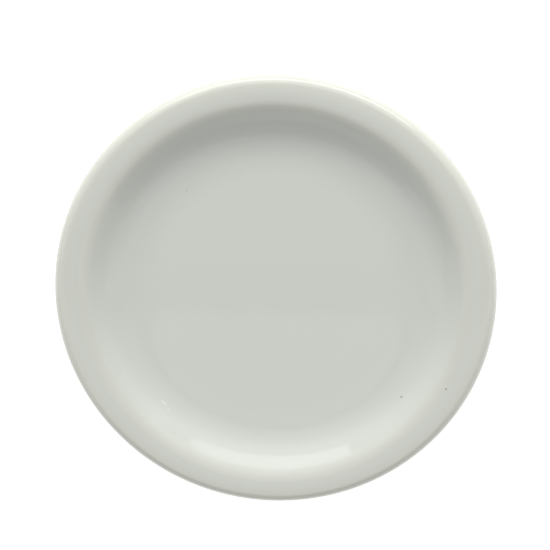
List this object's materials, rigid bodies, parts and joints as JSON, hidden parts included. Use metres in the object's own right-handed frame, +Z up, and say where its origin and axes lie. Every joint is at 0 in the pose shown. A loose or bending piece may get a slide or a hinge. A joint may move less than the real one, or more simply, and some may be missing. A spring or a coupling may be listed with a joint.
{
  "type": "evaporating dish",
  "caption": "Shallow round porcelain evaporating dish with a flat floor, curved wall, narrow rolled rim without a lip for pouring, and a bare foot ring.",
  "frame": {"origin": "middle of the plane that the foot ring stands on", "axes": "+Z up along the dish's axis of revolution; X and Y level, with no preferred direction"},
  "size_m": [0.165, 0.165, 0.0163],
  "materials": {
    "bare_porcelain": "matt, ground smooth where the foot ring stands",
    "white_glaze": "glossy, clear, slightly cool white, with a few iron specks",
    "recess_glaze": "glossy, thin, with faint turning rings showing through"
  },
  "bodies": {
    "root": {"porcelain_body": "bare_porcelain", "glaze_coat": "white_glaze", "foot_recess_glaze": "recess_glaze"}
  },
  "joints": []
}
